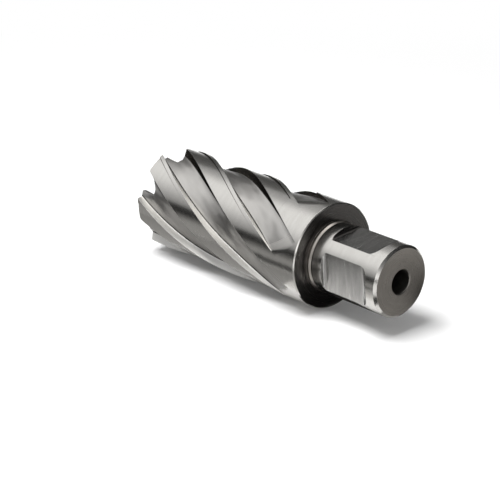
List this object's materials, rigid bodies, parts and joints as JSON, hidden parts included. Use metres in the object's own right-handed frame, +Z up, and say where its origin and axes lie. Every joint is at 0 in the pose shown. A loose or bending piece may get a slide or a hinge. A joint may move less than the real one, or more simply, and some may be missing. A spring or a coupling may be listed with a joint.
{
  "type": "annular cutter",
  "caption": "Hollow milling cutter: helical flutes and end teeth round a deep core, a plain collar, and a round shank with set-screw flats and a pilot bore.",
  "frame": {"origin": "on the cutter's axis, in the plane of the shoulder where the shank leaves the cutting head", "axes": "+X along the axis, out of the shank end; the cutting end points to -X; +Z is up, with the cutter lying on its side"},
  "size_m": [0.089, 0.0286, 0.0286],
  "materials": {
    "ground_steel": "bright ground high-speed steel, satin"
  },
  "bodies": {
    "root": {"annular_cutter": "ground_steel"}
  },
  "joints": []
}
